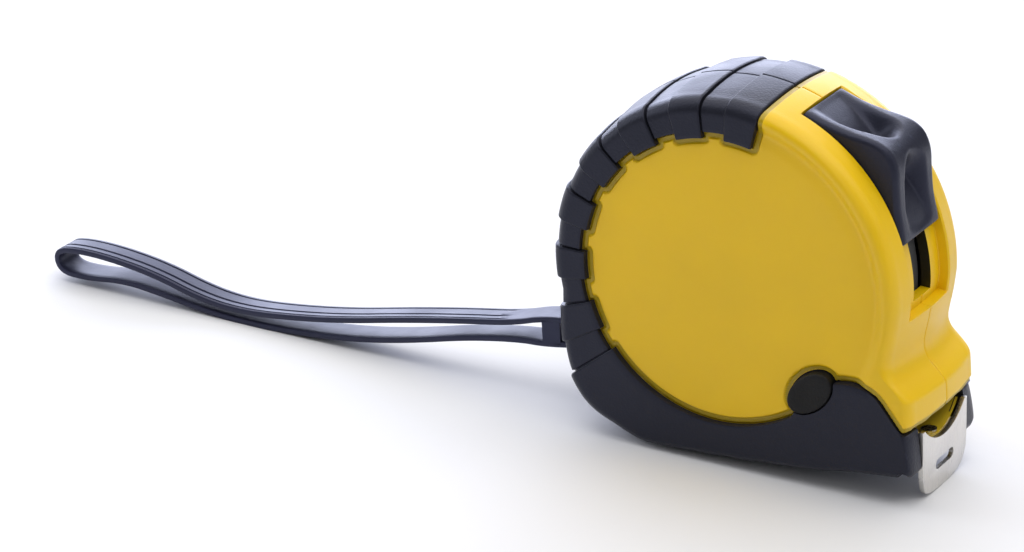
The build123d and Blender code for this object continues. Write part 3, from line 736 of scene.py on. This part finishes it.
def right_shell():
    """Right half of the yellow case, closed at the mid-plane, before its openings are cut.
    Under the boot it is sunk by a little more than the boot's thickness; a sunken strip runs beside it."""
    angles = shell_angles()
    table = np.array([[(r, -1.0 if y is None else y, nr, ny)
                       for r, y, nr, ny in shell_rows(float(outline_radius(a)))] for a in angles])
    radius, y, out_r, out_y = np.moveaxis(table, 2, 0)
    turn = np.radians(angles)[:, None]
    x, z = radius * np.cos(turn), AXIS_Z + radius * np.sin(turn)
    gap = side_distance(x, z)
    cover = 1 - ease(gap, -0.12, 0.0)
    y = np.where(y < 0, panel_y(angles, radius) * (1 - cover) + (HALF_W - 1.55) * cover, y)
    buried = np.where(out_y > 0.999, 0.0, 1.6 * cover)
    ring = np.minimum(gap, np.abs(button_distance(x, z)))
    strip = ease(-ring, -BORDER_STRIP - 0.25, -BORDER_STRIP + 0.1) * (1 - cover)
    on_rim = out_r > 0.999
    sink = buried + STRIP_DEPTH * strip + slot_depth(angles[:, None], y) * on_rim * (1 - cover)
    seam = 0.28 * (1 - ease(y, 0.05, 0.3)) * on_rim
    joint = 0.5 * (1 - ease(gap, 0.0, 0.28)) * (1 - cover)
    sink = sink + seam + joint
    radius, y = radius - out_r * sink, y - out_y * sink
    x, z = radius * np.cos(turn), AXIS_Z + radius * np.sin(turn)
    columns, rows = x.shape
    points = np.stack([x, -y, z], 2).reshape(-1, 3)
    centres = [(0, -DISC_Y, AXIS_Z), (0, -SEAM_Y, AXIS_Z)]
    near, far = columns * rows, columns * rows + 1
    faces = []
    for i in range(columns):
        a, b = i * rows, (i + 1) % columns * rows
        faces += [(a + k, b + k, b + k + 1, a + k + 1) for k in range(rows - 1)]
        faces += [(near, b, a), (far, a + rows - 1, b + rows - 1)]
    shell = new_object("right_case_shell_skin", np.vstack([points, centres]), faces)
    # Painted shade along the sunken strip beside the boot.
    paint_strip_shade(shell)
    return shell


def paint_strip_shade(shell):
    """Mark the sunken strip along the boot, where the material paints shade in a darker olive."""
    count = len(shell.data.vertices)
    place = np.empty(count * 3)
    shell.data.vertices.foreach_get("co", place)
    x, _, z = (place.reshape(-1, 3) / MM).T
    ring = np.minimum(side_distance(x, z), np.abs(button_distance(x, z)))
    share = ease(-ring, -BORDER_STRIP - 0.1, -BORDER_STRIP + 0.15)
    marks = shell.data.attributes.new("strip", "FLOAT", "POINT")
    marks.data.foreach_set("value", share)


def paint_inside_shade(shell):
    """Mark the walls of the blade's mouth and the hollow behind it, where the material paints shade, nearly
    black.
    """
    mesh = shell.data
    centres = np.empty(len(mesh.polygons) * 3)
    mesh.polygons.foreach_get("center", centres)
    x, y, z = (centres.reshape(-1, 3) / MM).T
    mouth = (np.abs(y) < MOUTH_HALF + 0.05) & (z > MOUTH_FLOOR_Z - 0.05) & (x > 0)
    mouth &= z < MOUTH_TOP_Z + 0.02
    hollow = (np.hypot(x, z - AXIS_Z) < CAVITY_R + 0.05) & (np.abs(y) < CAVITY_HALF + 0.05)
    marks = mesh.attributes.new("inside", "FLOAT", "FACE")
    marks.data.foreach_set("value", (mouth | hollow).astype(float))


def case_hollow(side):
    """Round room inside one half of the case, less the screw bosses and the hub."""
    wall = side * CAVITY_HALF
    past_wall = side * (CAVITY_HALF + 0.5)
    outline = circle((0, AXIS_Z), CAVITY_R, 120)
    outline[:, 1] = np.maximum(outline[:, 1], MOUTH_FLOOR_Z)
    room = side_prism("room", outline, *sorted((-side * 1.0, wall)))
    posts = [side_prism("post", circle(at, 2.3, 24), *sorted((-side * 2.0, past_wall))) for at in SCREWS_AT]
    posts.append(side_prism("hub", circle((0, AXIS_Z), 6.0, 40), *sorted((side * 10.9, past_wall))))
    return carve(room, posts)


def mouth_cutter(from_x):
    """The blade's mouth, from a place behind it out through the nose."""
    return block("mouth", (from_x, -MOUTH_HALF, MOUTH_FLOOR_Z), (60, MOUTH_HALF, MOUTH_TOP_Z))


def hook_seat():
    """Recess in the nose that the hook's plate lies in, leaning back at its foot."""
    outline = [(35.87, MOUTH_TOP_Z), (60, MOUTH_TOP_Z), (60, -10), (35.3, -10)]
    return side_prism("seat", outline, -9.8, 9.8)


def strap_opening():
    """Opening at the heel for the strap, and the bay around its pin."""
    half = STRAP_W / 2 + 0.5
    return [block("strap_slot", (-41.0, -half, 11.0), (-31.0, half, 20.6)),
            side_prism("strap_bay", circle(PIN_AT, 4.4, 40), -half, half)]


def screw_openings():
    """Counterbores and bores for the case's screws, from the left side."""
    holes = [side_prism("screw_hole", circle(at, 2.2, 28), HALF_W - 2.2, HALF_W + 2) for at in SCREWS_AT]
    return holes + [side_prism("screw_bore", circle(at, 1.1, 20), -10.4, HALF_W) for at in SCREWS_AT]


def nose_notch():
    """Notch across the base, just behind the hook."""
    outline = [(33.4, -3), (33.4, 1.5), (34.3, 2.8), (35.6, 2.8), (36.2, 1.3), (36.2, -3)]
    return side_prism("notch", rounded(outline, 2, closed=True), -20, 20)


def brake_hole():
    return side_prism("brake_hole", oval(0.3), -20, -CAVITY_HALF + 1)


def lock_slot():
    """Slot under the thumb lock's track, through to the hollow."""
    outline = ring_sector(CAVITY_R - 2, 60, POCKET_END + 3, LOCK_TO - 3)
    return side_prism("slot", outline, -SLOT_HALF, SLOT_HALF)


def make_case():
    """Both halves: the left one mirrors the right one, and each then gets its own openings."""
    shell, boot = right_shell(), right_boot()
    halves = [(1, "left", mirrored(shell, "left_case_shell_skin"), mirrored(boot, "left_grip_boot_skin")),
              (-1, "right", shell, boot)]
    for side, name, this_shell, this_boot in halves:
        cuts = [case_hollow(side), mouth_cutter(0), lock_slot(), hook_seat(), *strap_opening()]
        boot_cuts = [mouth_cutter(30), hook_seat(), *strap_opening(), nose_notch()]
        if side < 0:
            cuts.append(brake_hole())
            boot_cuts.append(brake_hole())
        else:
            cuts += screw_openings() + [side_prism("bore", circle(CLIP_SCREW_AT, 1.5, 24), 2, 20)]
            boot_cuts += screw_openings()
        carve(this_shell, cuts)
        carve(this_boot, boot_cuts)
        sharpen(this_shell)
        # Painted shade, nearly black, on the walls of the mouth and the hollow inside.
        paint_inside_shade(this_shell)
        sharpen(this_boot)
        finish_piece(this_shell, "case", "case_plastic", name + "_case_shell")
        finish_piece(this_boot, "case", "grip_rubber", name + "_grip_boot")


# ------------------------------------------------------------------ thumb lock

def scoop(angles, across, stops):
    """Share of a finger scoop over a grid of angles and widths: stops give its half width at some angles."""
    mm_per_degree = radians(1) * SCOOP_R
    half = np.array(stops)
    outline = rounded(np.vstack([half, half[::-1] * (1, -1)]) * (mm_per_degree, 1), 2, closed=True)
    return ease(outline_distance(outline, angles * mm_per_degree, across), -0.25, 1.5)


def scoop_grid(angles, across):
    """Both scoops, with their creases smoothed away."""
    grid = np.meshgrid(angles, across, indexing="ij")
    dips = np.maximum(scoop(*grid, UPPER_SCOOP), scoop(*grid, LOWER_SCOOP))
    for _ in range(5):
        dips[1:-1, 1:-1] = (dips[:-2, 1:-1] + dips[2:, 1:-1] + dips[1:-1, :-2] + dips[1:-1, 2:]) / 4
    return dips


def about_axis(loop, angle):
    """A loop of (radius, y) points, turned to an angle about the spool axis."""
    return [(r * cos(radians(angle)), y, AXIS_Z + r * sin(radians(angle))) for r, y in loop]


def make_thumb_lock():
    """Slider with a high crest across it, a scoop on both sides of the crest, and a neck to its leg."""
    crest_line = rounded(LOCK_CREST, 4)
    shoulder = 1.4
    angles = np.concatenate([[LOCK_FROM, LOCK_FROM + 0.15, LOCK_FROM + 0.4], np.arange(16.0, 64.2, 0.35),
                             [LOCK_TO - 0.4, LOCK_TO - 0.15, LOCK_TO]])
    across = np.concatenate([-LOCK_HALF + shoulder * (1 - np.cos(np.linspace(0, pi / 2, 9))),
                             np.linspace(-6.15, 0, 26)])
    across = np.concatenate([across, -across[-2::-1]])
    loops = []
    for angle, dip in zip(angles, scoop_grid(angles, across)):
        crest = float(np.interp(angle, crest_line[:, 0], crest_line[:, 1]))
        end_round = 0.35 * (1 - float(ease(min(angle - LOCK_FROM, LOCK_TO - angle), 0, 0.5)))
        edge = min(1.3, 0.55 * (crest - LOCK_FOOT_R))
        t = np.clip((np.abs(across) - (LOCK_HALF - shoulder)) / shoulder, 0, 1)
        top = crest - edge * (1 - np.sqrt(np.maximum(0, 1 - t * t))) - end_round
        saddle = 0.55 * np.exp(-((angle - 41.0) / 4.5) ** 2) * (1 - (across / LOCK_HALF) ** 2)
        floor_r = np.interp(angle, *zip(*SCOOP_FLOOR))
        top = np.minimum(top - saddle, top - saddle - dip * (top - saddle - floor_r))
        loop = [(LOCK_FOOT_R, -LOCK_HALF)] + list(zip(top, across)) + [(LOCK_FOOT_R, LOCK_HALF)]
        loops.append(about_axis(loop, angle))
    lock = lofted("thumb_lock_skin", loops)
    stem = side_prism("stem", ring_sector(31.0, LOCK_FOOT_R + 0.4, 30, 52), -STEM_HALF, STEM_HALF)
    carve(lock, [stem], "UNION")
    sharpen(lock, 40)
    finish_piece(lock, "lock", "lock_plastic", "thumb_lock")


def make_lock_leg():
    """Curved tongue under the lock, down to its shoe."""
    section = [(29.2, -LEG_HALF + 0.3), (30.7, -LEG_HALF), (31.0, -LEG_HALF + 0.3), (31.0, LEG_HALF - 0.3),
               (30.7, LEG_HALF), (29.2, LEG_HALF - 0.3)]
    leg = lofted("lock_leg_skin", [about_axis(section, a) for a in np.arange(-34.0, 54.5, 2.0)])
    sharpen(leg, 40)
    finish_piece(leg, "lock", "inner_plastic", "lock_leg")


# ------------------------------------------------------------------ brake button

def make_brake_button():
    """Flat oval cap with a rounded edge, over its inner flange: sections as (growth of the oval, y)."""
    sections = [(1.1, -12.3), (1.1, -12.8), (0.0, -12.8), (0.0, -BRAKE_OUT + 0.45),
                (-0.13, -BRAKE_OUT + 0.13), (-0.45, -BRAKE_OUT), (-1.4, -BRAKE_OUT), (-2.6, -BRAKE_OUT)]
    loops = [np.column_stack([oval(g)[:, 0], np.full(64, y), oval(g)[:, 1]]) for g, y in sections]
    cap = lofted("brake_button_skin", loops)
    sharpen(cap, 50)
    finish_piece(cap, "brake", "button_plastic", "brake_button")


# ------------------------------------------------------------------ end hook

def nail_slot():
    """Cutter for the long slot through the hook's plate, in the plate's own place."""
    length, height, level = HOOK_SLOT
    outline = []
    for side, turns in ((1, np.linspace(0, pi, 13)), (-1, np.linspace(pi, 2 * pi, 13))):
        middle = side * (length - height) / 2
        outline += [(middle + height / 2 * sin(t), level - HOOK_TOP_Z + height / 2 * cos(t)) for t in turns]
    return lofted("nail_slot", [[(x, y, z) for y, z in outline] for x in (-2.0, 1.0)])


def hook_plate():
    """Leaning plate with a curved top edge, rounded lower corners and the nail slot."""
    half_arc = (HOOK_CURVE_Z - HOOK_TOP_Z) / TROUGH_R
    turns = np.linspace(-np.arccos(half_arc), np.arccos(half_arc), 33)
    trough = [(TROUGH_R * sin(t), HOOK_CURVE_Z - TROUGH_R * cos(t)) for t in turns]
    outline = np.vstack([trough, rounded(HOOK_FOOT, 2)]) - (0, HOOK_TOP_Z)
    plate = lofted("end_hook_skin", [[(x, y, z) for y, z in outline] for x in (0.0, -HOOK_T)])
    carve(plate, [nail_slot()])
    bevel = plate.modifiers.new("edges", "BEVEL")
    bevel.width, bevel.segments = 0.16 * MM, 3
    bevel.limit_method, bevel.angle_limit = "ANGLE", radians(45)
    apply_modifiers(plate)
    place = Matrix.Translation(Vector((HOOK_FRONT_X, 0, HOOK_TOP_Z)) * MM)
    plate.data.transform(place @ Matrix.Rotation(radians(HOOK_LEAN), 4, "Y"))
    return plate


def hook_tongue():
    """Tongue under the blade, curved like it, with a hole drawn out backwards for each rivet."""
    turns = np.linspace(-TONGUE_TURN, TONGUE_TURN, 15)
    over, under = TROUGH_R + 0.24, TROUGH_R + 0.92
    section = [(over * sin(t), HOOK_CURVE_Z - over * cos(t)) for t in turns]
    section += [(under * sin(t), HOOK_CURVE_Z - under * cos(t)) for t in turns[::-1]]
    tongue = lofted("tongue", [[(x, y, z) for y, z in section] for x in TONGUE_X])
    ring = [(RIVET_HOLE_R * cos(t) - HOOK_PLAY * (cos(t) < 0), RIVET_HOLE_R * sin(t))
            for t in np.linspace(0, 2 * pi, 24, endpoint=False)]
    holes = [lofted("hole", [[(x + px, py, z) for px, py in ring] for z in (3.0, 8.0)]) for x in RIVET_X]
    return carve(tongue, holes)


def make_hook():
    """Nickel plate across the blade's end, joined to its tongue."""
    hook = hook_plate()
    carve(hook, [hook_tongue()], "UNION")
    sharpen(hook, 30)
    finish_piece(hook, "hook", "hook_nickel", "end_hook")


# ------------------------------------------------------------------ wrist strap

def strap_path():
    """Points along the strap's smooth line, in metres."""
    data = bpy.data.curves.new("strap_line", "CURVE")
    data.dimensions = "3D"
    spline = data.splines.new("NURBS")
    spline.points.add(len(STRAP_ROUTE) - 1)
    for point, (x, z) in zip(spline.points, STRAP_ROUTE):
        point.co = (x * MM, 0, z * MM, 1)
    spline.order_u = 3
    spline.use_endpoint_u = True
    spline.resolution_u = 12
    route = bpy.data.objects.new("strap_line", data)
    bpy.context.collection.objects.link(route)
    line = bpy.data.meshes.new_from_object(route.evaluated_get(bpy.context.evaluated_depsgraph_get()))
    path = np.array([v.co[:] for v in line.vertices])
    bpy.data.objects.remove(route)
    bpy.data.meshes.remove(line)
    return path


def strap_section():
    """Closed loop across the strap: (across, through, groove depth), the outer face first."""
    half, thick, edge = STRAP_W / 2, STRAP_T / 2, 0.35
    outer = [(-half + edge, 0.0), (-2.8, 0.0), (-2.66, 0.26), (-2.46, 0.26), (-2.3, 0.0), (-1.3, 0.0),
             (-1.08, 0.28), (-0.82, 0.28), (-0.6, 0.0), (0.3, 0.0), (1.2, 0.0), (1.9, 0.0), (2.08, 0.24),
             (2.3, 0.24), (2.46, 0.0), (half - edge, 0.0)]
    loop = [(u, thick, g) for u, g in outer]
    loop += [(half - 0.1, thick - 0.1, 0), (half, thick - edge, 0), (half, -thick + edge, 0),
             (half - 0.1, -thick + 0.1, 0)]
    loop += [(half - edge - 0.7 * k, -thick, 0) for k in range(0, 9)]
    loop += [(-half + 0.1, -thick + 0.1, 0), (-half, -thick + edge, 0), (-half, thick - edge, 0),
             (-half + 0.1, thick - 0.1, 0)]
    return loop


def make_strap():
    """The band along its path; three grooves run along its outer face and fade at the keeper."""
    path = strap_path()
    ahead = np.gradient(path, axis=0)
    ahead /= np.linalg.norm(ahead, axis=1)[:, None]
    outward = np.column_stack([-ahead[:, 2], np.zeros(len(path)), ahead[:, 0]])
    run = np.concatenate([[0], np.cumsum(np.linalg.norm(np.diff(path, axis=0), axis=1))])
    section = strap_section()
    loops = []
    for point, out, share in zip(path, outward, run / run[-1]):
        ribs = float(ease(share, 0.055, 0.075) * (1 - ease(share, 0.925, 0.945)))
        loops.append([(point + out * -(v - g * ribs) * MM + Vector((0, u * MM, 0))) / MM
                      for u, v, g in section])
    strap = lofted("wrist_strap_skin", loops)
    sharpen(strap, 40)
    finish_piece(strap, "strap", "strap_vinyl", "wrist_strap")


# ------------------------------------------------------------------ the whole tool

def dress_cad_parts():
    """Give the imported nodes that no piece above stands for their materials."""
    redrawn = {"right_case_shell", "left_case_shell", "right_grip_boot", "left_grip_boot", "thumb_lock",
               "lock_leg", "brake_button", "wrist_strap", "end_hook"}
    slots = {part["node"]: part["material_slot"] for part in frame["record"]["subparts"]}
    for node, obj in frame["nodes"].items():
        if node not in redrawn:
            obj.data.materials.clear()
            obj.data.materials.append(MATERIALS[slots[node]])


MATERIALS = make_materials()
make_camera()
bpy.context.scene.view_settings.view_transform = "Standard"
make_strap()
make_case()
make_thumb_lock()
make_lock_leg()
make_brake_button()
make_hook()
make_lights()
make_floor()
dress_cad_parts()
